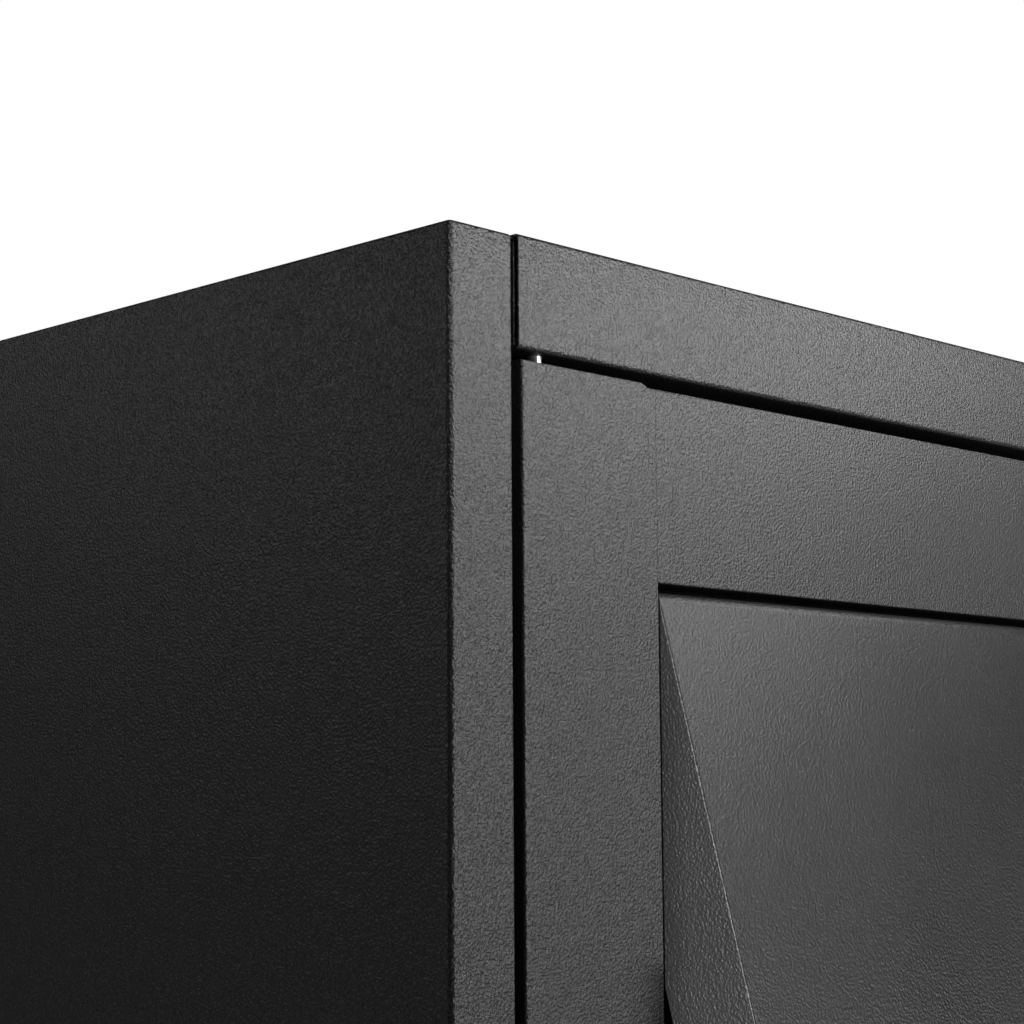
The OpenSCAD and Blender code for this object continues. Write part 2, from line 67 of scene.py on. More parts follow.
MM = 0.001
SHEET = 1.0 * MM          # body sheet
DOOR_SHEET = 1.2 * MM     # door sheet
BODY_BEND = 2.4 * MM      # outside radius of the body's bends
TOP_BEND = 1.7 * MM       # outside radius of the fold along the top of the front rail
RAIL_BEND = 1.8 * MM      # outside radius of the fold along the bottom of the front rail
CORNER_BEND = 2.2 * MM    # outside radius of the cabinet's upright front corners
POST_BEND = 1.1 * MM      # outside radius of the front posts' inner corners
RIM_BEND = 1.3 * MM       # outside radius of the fold along the top of the side panels
DOOR_BEND = 1.4 * MM      # outside radius of the door channels' long folds
OPENING_BEND = 0.6 * MM   # outside radius of the folds round a door's opening
DOOR_TOP_BEND = 0.9 * MM  # outside radius of the doors' top folds
FLAP_BEND = 0.8 * MM      # outside radius of the flap's folds
BUTT = 0.12 * MM          # radius left on edges that butt against a neighbour
POST = 30.0 * MM          # width of the front posts
RETURN = 20.0 * MM        # depth of the rails' returns and height of the rear flanges
STOP_LIP = 16.0 * MM      # width of the right post's lip, which stops the doors
STEP_FROM = 62.5 * MM     # raised length of a hinge stile's top edge
STEP_LEN = 5.0 * MM       # length over which it falls
STEP = 1.6 * MM           # height by which it falls
FOOT = 20.0 * MM          # radius of the foot pads
ANCHOR_HOLE = 5.5 * MM    # radius of the holes through the feet and the base
RIM = 0.15 * MM           # round left on the cut edges of small plates
BEND_STEPS = 10           # facets in a quarter bend
ROUND_STEPS = 64          # facets round a turned piece

FLOOR_GLOW = 0.12         # the floor's own light on the object
FLOOR_PALE = 0.5          # the floor's own light as the camera sees it, which keeps it pale all over
FLOOR_HALF = 8.0          # half the floor's width

nodes = frame["nodes"]
joints = {j["name"]: j for j in frame["joints"]}


def corners(node):
    """A CAD node's lowest and highest corner as arrays."""
    lo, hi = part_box(node)
    return np.array(lo, float), np.array(hi, float)


SIDE_LO, SIDE_HI = corners("left_side_panel")
TOP_LO, TOP_HI = corners("top_panel")
FRONT = SIDE_LO[1]
BACK = SIDE_HI[1]
OUTER = -SIDE_LO[0]
RAIL_X = TOP_HI[0]
RETURN_BACK = corners("strike_plates")[0][1]

# ---------------------------------------------------------------- mesh helpers


def curved_faces(mesh, flat_from):
    """Which faces belong to bends and rims: those with four corners whose area over their longest side
    is small."""
    count = len(mesh.polygons)
    area, size, start = np.empty(count), np.empty(count, np.int32), np.empty(count, np.int32)
    mesh.polygons.foreach_get("area", area)
    mesh.polygons.foreach_get("loop_total", size)
    mesh.polygons.foreach_get("loop_start", start)
    points = np.empty(len(mesh.vertices) * 3)
    mesh.vertices.foreach_get("co", points)
    ends = np.empty(len(mesh.edges) * 2, np.int32)
    mesh.edges.foreach_get("vertices", ends)
    side = np.empty(len(mesh.loops), np.int32)
    mesh.loops.foreach_get("edge_index", side)
    a, b = points.reshape(-1, 3)[ends.reshape(-1, 2).T]
    longest = np.maximum.reduceat(np.linalg.norm(a - b, axis=1)[side], start)
    return (size == 4) & (area / np.maximum(longest, 1e-9) < flat_from)


def add_mesh(name, verts, faces, body, replaced, material, sharp=40, flat_from=1.2 * MM):
    """Makes a mesh object from points and faces, shades its bends smooth, and ties it to its CAD body."""
    mesh = bpy.data.meshes.new(name)
    mesh.from_pydata(np.asarray(verts, float).reshape(-1, 3).tolist(), [], faces)
    mesh.validate()
    mesh.set_sharp_from_angle(angle=radians(sharp))
    if flat_from:
        mesh.polygons.foreach_set("use_smooth", curved_faces(mesh, flat_from))
    mesh.update()
    piece = bpy.data.objects.new(name, mesh)
    bpy.context.scene.collection.objects.link(piece)
    mesh.materials.append(material)
    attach(piece, body)
    if replaced:
        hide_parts(*replaced)
    return piece


def stack(rows):
    """Quads of a surface P(u, v) closed in u: rows[v, u] are its points, and its first and last rows
    are filled."""
    count, around = rows.shape[:2]
    base = np.arange(count - 1)[:, None] * around
    u = np.arange(around)[None, :]
    v = (u + 1) % around
    quads = np.stack([base + u, base + v, base + around + v, base + around + u], -1).reshape(-1, 4)
    faces = quads.tolist()
    faces.append(list(range(around))[::-1])
    faces.append(list(range((count - 1) * around, count * around)))
    return rows.reshape(-1, 3), faces


def joined(shells):
    """One list of points and one of faces from several closed shells, each turned so that its faces
    point outwards."""
    points, faces, start = [], [], 0
    for verts, polygons in shells:
        verts = np.asarray(verts, float)
        if signed_volume(verts, polygons) < 0:
            polygons = [p[::-1] for p in polygons]
        points.append(verts)
        faces += [[i + start for i in p] for p in polygons]
        start += len(verts)
    return np.concatenate(points), faces


def signed_volume(verts, polygons):
    """Sum over the faces' triangles (a, b, c) of a . (b x c) / 6, which is positive when faces point
    outwards."""
    fans = [(p[0], p[i], p[i + 1]) for p in polygons for i in range(1, len(p) - 1)]
    a, b, c = verts[np.array(fans)].transpose(1, 0, 2) - verts.mean(0)
    return float(np.einsum("ij,ij->i", a, np.cross(b, c)).sum() / 6)


def rounded_path(points, radius, steps=BEND_STEPS):
    """An open path whose corners are arcs: the corner P with unit directions d0 in and d1 out, turning
    by angle g, becomes an arc of the given radius that starts radius * tan(g / 2) before P and ends as
    far after it."""
    points = np.asarray(points, float)
    radii = np.broadcast_to(np.asarray(radius, float), (len(points) - 2,))
    out = [points[0]]
    for before, corner, after, r in zip(points, points[1:], points[2:], radii):
        d0 = (corner - before) / np.linalg.norm(corner - before)
        d1 = (after - corner) / np.linalg.norm(after - corner)
        side = np.sign(d0[0] * d1[1] - d0[1] * d1[0])
        turn = np.arccos(np.clip(d0 @ d1, -1, 1))
        start = corner - d0 * r * tan(turn / 2)
        centre = start + side * r * np.array([-d0[1], d0[0]])
        a = side * np.linspace(0, turn, steps + 1)[:, None]
        spoke = start - centre
        turned = np.hstack([np.cos(a) * spoke[0] - np.sin(a) * spoke[1],
                            np.sin(a) * spoke[0] + np.cos(a) * spoke[1]])
        out += list(centre + turned)
    out.append(points[-1])
    out = np.array(out)
    apart = np.linalg.norm(np.diff(out, axis=0), axis=1) > 1e-7
    return out[np.concatenate([[True], apart])]


def thick_loop(path, half, trim=0.0, ends=6, shift=0.0):
    """The outline of a sheet along a path: P(s) + half * n(s) one way, P(s) - half * n(s) back, and
    half circles at its ends, which are first cut short by trim. n is the path's unit normal, and P is
    first moved by -shift * n."""
    tangent = np.gradient(path, axis=0)
    tangent[0] = path[1] - path[0]
    tangent[-1] = path[-1] - path[-2]
    tangent /= np.linalg.norm(tangent, axis=1)[:, None]
    normal = np.stack([-tangent[:, 1], tangent[:, 0]], 1)
    path = path - shift * normal
    path[0] += tangent[0] * trim
    path[-1] -= tangent[-1] * trim
    a = np.linspace(0, pi, ends + 2)[1:-1, None]
    last = path[-1] + half * (np.cos(a) * normal[-1] + np.sin(a) * tangent[-1])
    first = path[0] + half * (-np.cos(a) * normal[0] - np.sin(a) * tangent[0])
    return np.concatenate([path + half * normal, last, (path - half * normal)[::-1], first])


def folded(points, bend, thick, lo, hi, along, rim=0.35, turn_in=0.0):
    """A folded sheet: the thick outline of a bent path, carried along one axis from lo to hi. Near
    both cut edges the outline thins by rim * thick * (1 - cos a) while it moves
    rim * thick * (1 - sin a), which rounds them. along is "x" for a path in (y, z), "z" for one in
    (x, y). points run down the middle of the sheet. With turn_in the sheet's upper edge is a fold of
    that radius instead: the path moves turn_in * (1 - cos a) to its right while it rises turn_in * sin
    a."""
    inner = np.asarray(bend, float) - thick / 2
    path = rounded_path(points, inner)
    r = rim * thick
    angles = np.linspace(0, pi / 2, 4)
    steps = [(lo + r * (1 - sin(a)), r * (1 - cos(a)), 0.0) for a in angles[::-1]]
    if turn_in:
        arc = np.linspace(0, pi / 2, 9)
        steps += [(hi - turn_in * (1 - sin(a)), 0.0, turn_in * (1 - cos(a))) for a in arc]
    else:
        steps += [(hi - r * (1 - sin(a)), r * (1 - cos(a)), 0.0) for a in angles]
    rows = []
    for place, thin, shift in steps:
        loop = thick_loop(path, thick / 2 - thin, trim=thick / 2, shift=shift)
        level = np.full((len(loop), 1), place)
        rows.append(np.hstack([level, loop] if along == "x" else [loop, level]))
    return stack(np.array(rows))


def plate(lo, hi, rim=0.35 * MM, corner=0.6 * MM):
    """A flat bar between two corners: a rectangle with round corners in its two longest directions,
    whose faces meet its thickness in arcs of radius rim."""
    lo, hi = np.asarray(lo, float), np.asarray(hi, float)
    thin = int(np.argmin(hi - lo))
    a, b = [i for i in range(3) if i != thin]
    rim = min(rim, (hi - lo)[thin] * 0.45)
    corner = max(corner, rim * 1.2)
    rows = []
    arc = np.linspace(0, pi / 2, 4)
    depths = [(lo[thin] + rim * (1 - sin(t)), rim * (1 - cos(t))) for t in arc[::-1]]
    depths += [(hi[thin] - rim * (1 - sin(t)), rim * (1 - cos(t))) for t in arc]
    turn = np.linspace(0, pi / 2, 5)
    for place, inset in depths:
        r = corner - inset
        loop = []
        quarters = ((hi, hi, 0), (lo, hi, 1), (lo, lo, 2), (hi, lo, 3))
        for first, second, quarter in quarters:
            cx = first[a] - corner if first is hi else first[a] + corner
            cy = second[b] - corner if second is hi else second[b] + corner
            t = turn + quarter * pi / 2
            loop.append(np.stack([cx + r * np.cos(t), cy + r * np.sin(t)], 1))
        loop = np.concatenate(loop)
        row = np.empty((len(loop), 3))
        row[:, a], row[:, b], row[:, thin] = loop[:, 0], loop[:, 1], place
        rows.append(row)
    return stack(np.array(rows))


def holed_plate(xs, ys, holes, radius, z0, z1, place):
    """A flat plate with round holes. Its outline is a grid of cells with borders xs and ys; each cell
    in holes has a hole at its middle, and is split into four faces between its corners and quarter
    circles. place turns plan points and heights into points in space."""
    xs, ys = np.asarray(xs, float), np.asarray(ys, float)
    nx, ny = len(xs), len(ys)
    gx, gy = np.meshgrid(xs, ys)
    grid = np.stack([gx.ravel(), gy.ravel()], 1)
    u = np.linspace(0, 2 * pi, ROUND_STEPS, endpoint=False) + pi / 4
    circles = [np.array([(xs[i] + xs[i + 1]) / 2, (ys[j] + ys[j + 1]) / 2])
               + radius * np.stack([np.cos(u), np.sin(u)], 1) for i, j in holes]
    plan = np.concatenate([grid] + circles)
    count = len(plan)
    quarter = ROUND_STEPS // 4
    top = []
    for i in range(nx - 1):
        for j in range(ny - 1):
            low, high = j * nx + i, (j + 1) * nx + i
            cell = [low, low + 1, high + 1, high]
            if (i, j) not in holes:
                top.append(cell)
                continue
            first = len(grid) + holes.index((i, j)) * ROUND_STEPS
            corner = [high + 1, high, low, low + 1]
            for side in range(4):
                arc = [first + (side * quarter + k) % ROUND_STEPS for k in range(quarter + 1)]
                top.append([corner[side], corner[(side + 1) % 4]] + arc[::-1])
    rim = list(range(nx)) + [j * nx + nx - 1 for j in range(1, ny)]
    rim += [(ny - 1) * nx + i for i in range(nx - 2, -1, -1)] + [j * nx for j in range(ny - 2, 0, -1)]
    walls = [[a, b, b + count, a + count] for a, b in zip(rim, rim[1:] + rim[:1])]
    for hole in range(len(holes)):
        first = len(grid) + hole * ROUND_STEPS
        loop = [first + k for k in range(ROUND_STEPS)]
        walls += [[b, a, a + count, b + count] for a, b in zip(loop, loop[1:] + loop[:1])]
    faces = [f[::-1] for f in top] + [[i + count for i in f] for f in top] + walls
    points = np.concatenate([place(plan, z0), place(plan, z1)])
    return points, faces


def frame_about(axis):
    """Two unit directions square to an axis, and the axis: for an axis along y they are x and z."""
    axis = np.asarray(axis, float)
    b = np.array([1.0, 0.0, 0.0]) if abs(axis[0]) < 0.9 else np.array([0.0, 1.0, 0.0])
    d = np.cross(axis, b)
    if abs(axis[1]) > 0.9:
        d = np.array([0.0, 0.0, 1.0])
    return b, d, axis


def turned(profile, centre, axis, steps=ROUND_STEPS):
    """Rows of a turned surface: profile points (radius, distance) swept round an axis, P(u, v) =
    C + d(v) A + r(v) (cos u B + sin u D). A closed profile makes a ring; an open one gets flat ends."""
    profile = np.asarray(profile, float)
    b, d, axis = frame_about(axis)
    u = np.linspace(0, 2 * pi, steps, endpoint=False)
    spoke = np.cos(u)[:, None] * b + np.sin(u)[:, None] * d
    rows = np.asarray(centre) + profile[:, 1][:, None, None] * axis + profile[:, 0][:, None, None] * spoke
    return rows


def ringed(rows):
    """Quads of a surface closed both ways: the last row joins the first, as on a washer."""
    count, around = rows.shape[:2]
    i = np.arange(count)[:, None]
    j = np.arange(around)[None, :]
    k, m = (i + 1) % count, (j + 1) % around
    quads = np.stack([i * around + j, i * around + m, k * around + m, k * around + j], -1)
    return rows.reshape(-1, 3), quads.reshape(-1, 4).tolist()


def eased_ring(profile, r, steps=3):
    """A closed profile with every corner made an arc of radius r."""
    profile = np.asarray(profile, float)
    start = (profile[0] + profile[-1]) / 2
    path = np.concatenate([[start], profile, [start]])
    return rounded_path(path, r, steps)[:-1]


def facets(count, steps=ROUND_STEPS):
    """How far a regular polygon's side lies from its centre in each direction, as a multiple of its
    inner radius: 1 / cos(u), with u measured from the middle of the nearest side."""
    u = np.linspace(0, 2 * pi, steps, endpoint=False)
    part = 2 * pi / count
    return 1 / np.cos((u + part / 2) % part - part / 2)


def slot_shape(half_wide, half_high, steps=ROUND_STEPS):
    """A rectangle's edge in each direction u: 1 / max(|cos u| / a, |sin u| / b)."""
    u = np.linspace(0, 2 * pi, steps, endpoint=False)
    return 1 / np.maximum(np.abs(np.cos(u)) / half_wide, np.abs(np.sin(u)) / half_high)


def shaped(levels, centre, axis, closed=False):
    """A turned piece whose radius also changes round it: levels are pairs of a radius, or of radii by
    direction, and a distance along the axis. P(u, v) = C + d(v) A + r(u, v) (cos u B + sin u D)."""
    radii = np.array([np.broadcast_to(r, (ROUND_STEPS,)) for r, _ in levels])
    depth = np.array([d for _, d in levels])
    b, d, axis = frame_about(axis)
    u = np.linspace(0, 2 * pi, ROUND_STEPS, endpoint=False)
    spoke = np.cos(u)[:, None] * b + np.sin(u)[:, None] * d
    rows = np.asarray(centre) + depth[:, None, None] * axis + radii[:, :, None] * spoke
    return ringed(rows) if closed else stack(rows)


def eased(profile, r=0.3 * MM, steps=3):
    """A profile whose corners are small arcs of radius r."""
    return rounded_path(profile, r, steps)


# ---------------------------------------------------------------- materials


def new_material(name):
    """An empty node material with its Principled shader and Object coordinates."""
    material = bpy.data.materials.new(name)
    material.use_nodes = True
    tree = material.node_tree
    tree.nodes.clear()
    shader = tree.nodes.new("ShaderNodeBsdfPrincipled")
    output = tree.nodes.new("ShaderNodeOutputMaterial")
    tree.links.new(shader.outputs["BSDF"], output.inputs["Surface"])
    place = tree.nodes.new("ShaderNodeTexCoord").outputs["Object"]
    return material, tree, shader, place


def noise(tree, place, scale, detail=2.0, rough=0.5, stretch=None):
    """Noise at a scale in cells a metre, stretched along the axes if asked."""
    if stretch is not None:
        mapping = tree.nodes.new("ShaderNodeMapping")
        mapping.inputs["Scale"].default_value = stretch
        tree.links.new(place, mapping.inputs["Vector"])
        place = mapping.outputs["Vector"]
    node = tree.nodes.new("ShaderNodeTexNoise")
    node.inputs["Scale"].default_value = scale
    node.inputs["Detail"].default_value = detail
    node.inputs["Roughness"].default_value = rough
    tree.links.new(place, node.inputs["Vector"])
    return node.outputs["Fac"]


def ranged(tree, value, low, high, start=0.3, stop=0.7):
    """A value carried from start..stop to low..high."""
    node = tree.nodes.new("ShaderNodeMapRange")
    node.inputs["From Min"].default_value = start
    node.inputs["From Max"].default_value = stop
    node.inputs["To Min"].default_value = low
    node.inputs["To Max"].default_value = high
    tree.links.new(value, node.inputs["Value"])
    return node.outputs["Result"]


def blended(tree, factor, first, second):
    """A colour between two colours."""
    node = tree.nodes.new("ShaderNodeMix")
    node.data_type = "RGBA"
    node.inputs["A"].default_value = (*first, 1)
    node.inputs["B"].default_value = (*second, 1)
    tree.links.new(factor, node.inputs["Factor"])
    return node.outputs["Result"]


def total(tree, *values):
    """The sum of several values."""
    result = values[0]
    for value in values[1:]:
        node = tree.nodes.new("ShaderNodeMath")
        node.operation = "ADD"
        tree.links.new(result, node.inputs[0])
        tree.links.new(value, node.inputs[1])
        result = node.outputs[0]
    return result


def bumped(tree, shader, height, distance, strength=1.0):
    """Bump from a height in the range 0 to 1, distance metres deep."""
    node = tree.nodes.new("ShaderNodeBump")
    node.inputs["Distance"].default_value = distance
    node.inputs["Strength"].default_value = strength
    tree.links.new(height, node.inputs["Height"])
    tree.links.new(node.outputs["Normal"], shader.inputs["Normal"])


def powder_coat(name, dark, light, gloss, grain):
    """Baked powder paint: wrinkles about a millimetre wide, and a faint speckle of tone."""
    material, tree, shader, place = new_material(name)
    wrinkle = noise(tree, place, 900, 1.0, 0.5)
    cloud = noise(tree, place, 9, 3.0, 0.55)
    speck = noise(tree, place, 1500, 1.0, 0.5)
    tone = total(tree, ranged(tree, cloud, -0.2, 0.4), ranged(tree, speck, 0.0, 0.6))
    tree.links.new(blended(tree, tone, dark, light), shader.inputs["Base Color"])
    tree.links.new(ranged(tree, cloud, gloss - 0.02, gloss + 0.02), shader.inputs["Roughness"])
    shader.inputs["Specular IOR Level"].default_value = 0.5
    bumped(tree, shader, ranged(tree, wrinkle, 0.0, 1.0, 0.2, 0.8), grain)
    return material


def plated(name, dark, light, gloss, streak, grain=0.000004):
    """Zinc, steel or chrome: bare metal with fine streaks along one axis and a cloudy change of gloss."""
    material, tree, shader, place = new_material(name)
    lines = noise(tree, place, 900, 2.0, 0.6, streak)
    cloud = noise(tree, place, 140, 3.0, 0.6)
    tree.links.new(blended(tree, cloud, dark, light), shader.inputs["Base Color"])
    sheen = ranged(tree, total(tree, lines, cloud), gloss - 0.06, gloss + 0.1, 0.7, 1.3)
    tree.links.new(sheen, shader.inputs["Roughness"])
    shader.inputs["Metallic"].default_value = 1.0
    bumped(tree, shader, lines, grain)
    return material


def plastic(name, dark, light, gloss, cells, grain):
    """Moulded nylon or rubber: a soft mottle and a fine pebble."""
    material, tree, shader, place = new_material(name)
    pebble = noise(tree, place, cells, 2.0, 0.6)
    cloud = noise(tree, place, 40, 2.0, 0.5)
    tree.links.new(blended(tree, cloud, dark, light), shader.inputs["Base Color"])
    tree.links.new(ranged(tree, pebble, gloss - 0.05, gloss + 0.08), shader.inputs["Roughness"])
    bumped(tree, shader, pebble, grain)
    return material


def ribbed_rubber(name):
    """A floor mat: ribs 4 mm apart that run from front to back, height = |sin(x)|, with a fine pebble
    on them."""
    material, tree, shader, place = new_material(name)
    wave = tree.nodes.new("ShaderNodeTexWave")
    wave.bands_direction = "X"
    wave.inputs["Scale"].default_value = 78
    tree.links.new(place, wave.inputs["Vector"])
    pebble = noise(tree, place, 700, 2.0, 0.6)
    colour = blended(tree, pebble, (0.012, 0.012, 0.012), (0.03, 0.03, 0.03))
    tree.links.new(colour, shader.inputs["Base Color"])
    shader.inputs["Roughness"].default_value = 0.75
    bumped(tree, shader, total(tree, wave.outputs["Fac"], ranged(tree, pebble, 0.0, 0.15)), 0.0006)
    return material


def floor_paint(name):
    """A pale studio floor with a faint unevenness."""
    material, tree, shader, place = new_material(name)
    cloud = noise(tree, place, 1.5, 3.0, 0.5)
    tree.links.new(blended(tree, cloud, (0.74, 0.74, 0.74), (0.8, 0.8, 0.8)), shader.inputs["Base Color"])
    shader.inputs["Roughness"].default_value = 0.7
    shader.inputs["Emission Color"].default_value = (1, 1, 1, 1)
    ray = tree.nodes.new("ShaderNodeLightPath")
    glow = tree.nodes.new("ShaderNodeMapRange")
    glow.inputs["To Min"].default_value = FLOOR_GLOW
    glow.inputs["To Max"].default_value = FLOOR_PALE
    tree.links.new(ray.outputs["Is Camera Ray"], glow.inputs["Value"])
    tree.links.new(glow.outputs["Result"], shader.inputs["Emission Strength"])
    return material


PAINT_DARK = (0.01, 0.01, 0.0102)
PAINT_LIGHT = (0.016, 0.016, 0.0162)
COARSE = 0.35 * MM        # depth of the paint's wrinkles on the body and the doors' frames
FINE = 0.2 * MM           # and on the flap, the lower infill and the inside

BLACK = powder_coat("powder_coat_body", PAINT_DARK, PAINT_LIGHT, 0.42, COARSE)
BLACK_DOOR = powder_coat("powder_coat_door", PAINT_DARK, PAINT_LIGHT, 0.42, COARSE)
BLACK_FLAP = powder_coat("powder_coat_flap", PAINT_DARK, PAINT_LIGHT, 0.42, FINE)
BLACK_INSIDE = powder_coat("powder_coat_inside", PAINT_DARK, PAINT_LIGHT, 0.48, FINE)
ZINC = plated("zinc_plate", (0.5, 0.52, 0.55), (0.68, 0.69, 0.7), 0.34, (1.0, 1.0, 0.2))
STEEL = plated("turned_steel", (0.6, 0.6, 0.61), (0.75, 0.75, 0.76), 0.34, (1.0, 1.0, 3.0))
PULL_STEEL = plated("brushed_pull", (0.52, 0.52, 0.53), (0.68, 0.68, 0.69), 0.3, (0.05, 1.0, 1.0))
CHROME = plated("satin_chrome", (0.62, 0.62, 0.63), (0.78, 0.78, 0.79), 0.18, (1.0, 0.3, 1.0), 0.000002)
NYLON = plastic("natural_nylon", (0.68, 0.67, 0.62), (0.8, 0.79, 0.75), 0.45, 900, 0.00002)
RUBBER = plastic("black_rubber", (0.012, 0.012, 0.012), (0.028, 0.028, 0.028), 0.72, 1100, 0.00005)
MAT = ribbed_rubber("ribbed_rubber")
FLOOR = floor_paint("studio_floor")

SLOT_MATERIAL = {
    "body_paint": BLACK, "door_paint": BLACK_DOOR, "inner_paint": BLACK_INSIDE, "zinc": ZINC,
    "bright_steel": STEEL, "lock_chrome": CHROME, "nylon": NYLON, "rubber": RUBBER,
}


def finish_cad_nodes():
    """Gives every CAD node the material of its slot in the record."""
    for part in frame["record"]["subparts"]:
        mesh = nodes[part["node"]].data
        mesh.materials.clear()
        mesh.materials.append(MAT if part["node"] == "floor_mat" else SLOT_MATERIAL[part["material_slot"]])
        rim = nodes[part["node"]].modifiers.new("rim", "BEVEL")
        rim.width = RIM
        rim.segments = 2
        rim.limit_method = "ANGLE"
        rim.angle_limit = radians(50)


# ---------------------------------------------------------------- cabinet


def side_panel(node, sign, lip):
    """Side panel: in plan its path runs from the post's return forward, across the post, back along
    the skin and in along the rear flange; it is carried up to the top flange, a flat strip set just
    under the rim."""
    lo, hi = corners(node)
    h = SHEET / 2
    path = [(-OUTER + POST - h, RETURN_BACK), (-OUTER + POST - h, FRONT + h), (-OUTER + h, FRONT + h),
            (-OUTER + h, BACK - h), (-OUTER + POST - BODY_BEND, BACK - h)]
    if lip:
        path = [(-OUTER + POST + lip, RETURN_BACK - h), (-OUTER + POST - h, RETURN_BACK - h)] + path[1:]
    bends = [POST_BEND] * (2 if lip else 1) + [CORNER_BEND, BODY_BEND]
    shells = [folded(path, bends, SHEET, lo[2], hi[2], "z", turn_in=RIM_BEND)]
    shells.append(plate((-OUTER + SHEET, FRONT + SHEET, hi[2] - SHEET),
                        (-OUTER + POST - SHEET, BACK - SHEET, hi[2] - 0.04 * MM)))
    shells.append(plate((-OUTER + POST - 2 * SHEET, FRONT + BODY_BEND + 0.2 * MM, hi[2] - SHEET),
                        (-OUTER + (hi[0] - lo[0]), BACK - SHEET - 0.2 * MM, hi[2] - 0.06 * MM)))
    verts, faces = joined(shells)
    verts[:, 0] *= sign
    if sign < 0:
        faces = [f[::-1] for f in faces]
    return add_mesh(node + "_skin", verts, faces, "cabinet", [node], BLACK)


def end_plates(z0, z1):
    """The two small flanges that close a rail's ends."""
    y1 = FRONT + RETURN
    return [plate((x, FRONT + BODY_BEND, z0), (x + SHEET, y1, z1)) for x in (-RAIL_X, RAIL_X - SHEET)]


def top_cover():
    """Top panel: in (y, z) its path climbs the rear flange, crosses the top, drops down the front rail
    and turns in along the rail's return."""
    lo, hi = corners("top_panel")
    h = SHEET / 2
    rail_z = lo[2]
    path = [(BACK - h, hi[2] - RETURN), (BACK - h, hi[2] - h), (FRONT + h, hi[2] - h),
            (FRONT + h, rail_z + h), (FRONT + RETURN, rail_z + h)]
    shells = [folded(path, [TOP_BEND, TOP_BEND, RAIL_BEND], SHEET, -RAIL_X, RAIL_X, "x")]
    shells += end_plates(rail_z + SHEET, hi[2] - 2.3 * MM)
    verts, faces = joined(shells)
    return add_mesh("top_cover", verts, faces, "cabinet", ["top_panel"], BLACK)


def middle_rail():
    """Middle rail: a channel whose path in (y, z) runs forward along its top return, down its face and
    back."""
    lo, hi = corners("mid_rail")
    h = SHEET / 2
    path = [(hi[1], hi[2] - h), (FRONT + h, hi[2] - h), (FRONT + h, lo[2] + h), (hi[1], lo[2] + h)]
    shells = [folded(path, BODY_BEND, SHEET, -RAIL_X, RAIL_X, "x")]
    shells += end_plates(lo[2] + SHEET, hi[2] - SHEET)
    verts, faces = joined(shells)
    return add_mesh("middle_rail", verts, faces, "cabinet", ["mid_rail"], BLACK)


def base_tray():
    """Base pan: a floor sheet with four anchor holes, a front rail whose path in (y, z) runs from the
    floor down to its return, and a flange up the back."""
    lo, hi = corners("base_pan")
    pad_hi = corners("foot_pads")[1]
    h = SHEET / 2
    cx, cy = pad_hi[0] - FOOT, pad_hi[1] - FOOT
    s = 9 * MM
    xs = [-OUTER, -cx - s, -cx + s, cx - s, cx + s, OUTER]
    ys = [FRONT + BODY_BEND, -cy - s, -cy + s, cy - s, cy + s, BACK - BODY_BEND]
    flat = lambda plan, z: np.hstack([plan, np.full((len(plan), 1), z)])
    shells = [holed_plate(xs, ys, [(1, 1), (1, 3), (3, 1), (3, 3)], ANCHOR_HOLE, lo[2], lo[2] + SHEET, flat)]
    front = [(FRONT + BODY_BEND, lo[2] + h), (FRONT + h, lo[2] + h), (FRONT + h, hi[2] - h),
             (FRONT + RETURN, hi[2] - h)]
    rear = [(BACK - BODY_BEND, lo[2] + h), (BACK - h, lo[2] + h), (BACK - h, lo[2] + RETURN)]
    shells.append(folded(front, BODY_BEND, SHEET, -RAIL_X, RAIL_X, "x"))
    shells.append(folded(rear, BODY_BEND, SHEET, -RAIL_X, RAIL_X, "x"))
    for y0, y1 in ((FRONT, FRONT + BODY_BEND), (BACK - BODY_BEND, BACK)):
        for x0, x1 in ((-OUTER, -RAIL_X), (RAIL_X, OUTER)):
            shells.append(plate((x0, y0, lo[2]), (x1, y1, lo[2] + SHEET), corner=0.8 * MM))
    shells += end_plates(lo[2] + SHEET, hi[2] - SHEET)
    verts, faces = joined(shells)
    return add_mesh("base_tray", verts, faces, "cabinet", ["base_pan"], BLACK)


def rear_sheet():
    """Back panel: a flat sheet in (x, z) with four holes for wall screws."""
    lo, hi = corners("back_panel")
    hx, z0, z1 = 200 * MM, 150 * MM, SIDE_HI[2] + SHEET - 150 * MM
    s = 12 * MM
    xs = [lo[0], -hx - s, -hx + s, hx - s, hx + s, hi[0]]
    zs = [lo[2], z0 - s, z0 + s, z1 - s, z1 + s, hi[2]]
    upright = lambda plan, y: np.stack([plan[:, 0], np.full(len(plan), y), plan[:, 1]], 1)
    shell = holed_plate(xs, zs, [(1, 1), (1, 3), (3, 1), (3, 3)], 4.5 * MM, lo[1], hi[1], upright)
    verts, faces = joined([shell])
    return add_mesh("rear_sheet", verts, faces, "cabinet", ["back_panel"], BLACK_INSIDE)


def feet():
    """Foot pads: turned rings with a groove round the middle."""
    lo, hi = corners("foot_pads")
    r, hole, h = FOOT, ANCHOR_HOLE, hi[2] - lo[2]
    profile = [(hole, 0), (r - 0.6 * MM, 0), (r, 1.5 * MM), (r, h * 0.42), (r - 1.2 * MM, h * 0.5),
               (r, h * 0.58), (r, h), (hole, h)]
    loop = eased_ring(profile, 0.35 * MM)
    x, y = hi[0] - r, hi[1] - r
    shells = [ringed(turned(loop, (i, j, lo[2]), (0, 0, 1))) for i in (-x, x) for j in (-y, y)]
    verts, faces = joined(shells)
    return add_mesh("turned_feet", verts, faces, "cabinet", ["foot_pads"], RUBBER, flat_from=0)


